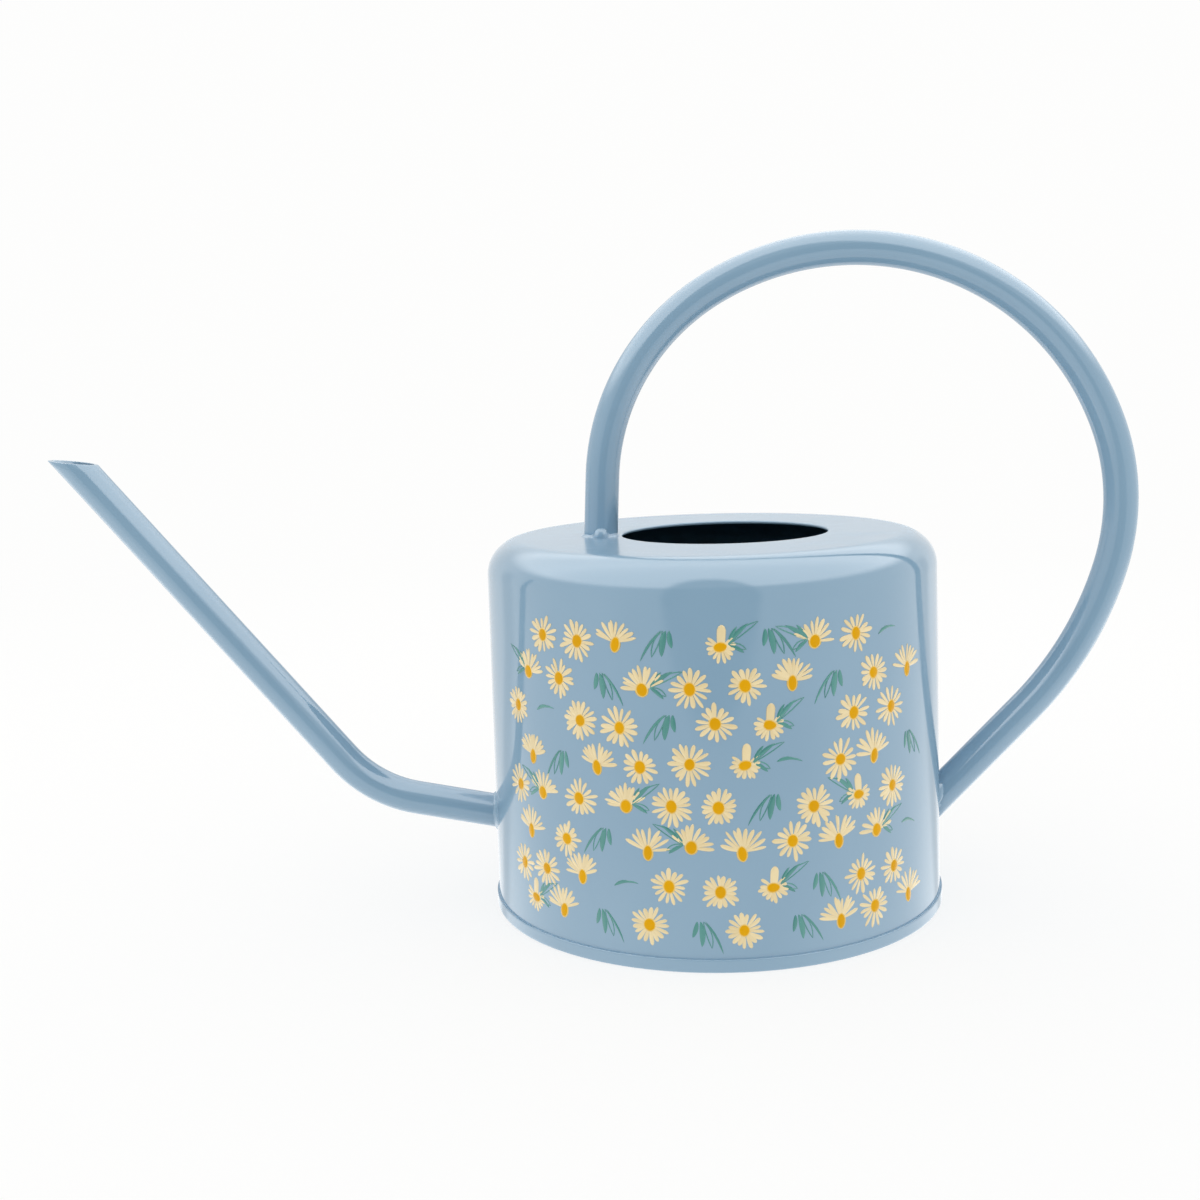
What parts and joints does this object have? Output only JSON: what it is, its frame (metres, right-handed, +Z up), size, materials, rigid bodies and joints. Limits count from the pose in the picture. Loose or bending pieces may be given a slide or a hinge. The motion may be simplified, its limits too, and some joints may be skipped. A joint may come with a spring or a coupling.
{
  "type": "watering can",
  "caption": "Round painted sheet-steel indoor watering can with a long bent tube spout and a tube hoop handle.",
  "frame": {"origin": "on the floor, on the round body's axis", "axes": "+X towards the handle, spout towards -X, +Z up; the XZ plane is the plane of symmetry"},
  "size_m": [0.3848, 0.1614, 0.235],
  "materials": {
    "body_paint": "gloss",
    "base_paint": "gloss",
    "spout_paint": "gloss",
    "handle_paint": "gloss",
    "weld_paint": "gloss",
    "print_petals": "gloss",
    "print_hearts": "gloss",
    "print_leaves": "gloss",
    "sealant": "matt"
  },
  "bodies": {
    "root": {"body_shell": "body_paint", "base_plate": "base_paint", "seam_sealant": "sealant", "spout_tube": "spout_paint", "handle_tube": "handle_paint", "spout_weld": "weld_paint", "foot_weld": "weld_paint", "handle_end_weld": "weld_paint"}
  },
  "joints": []
}
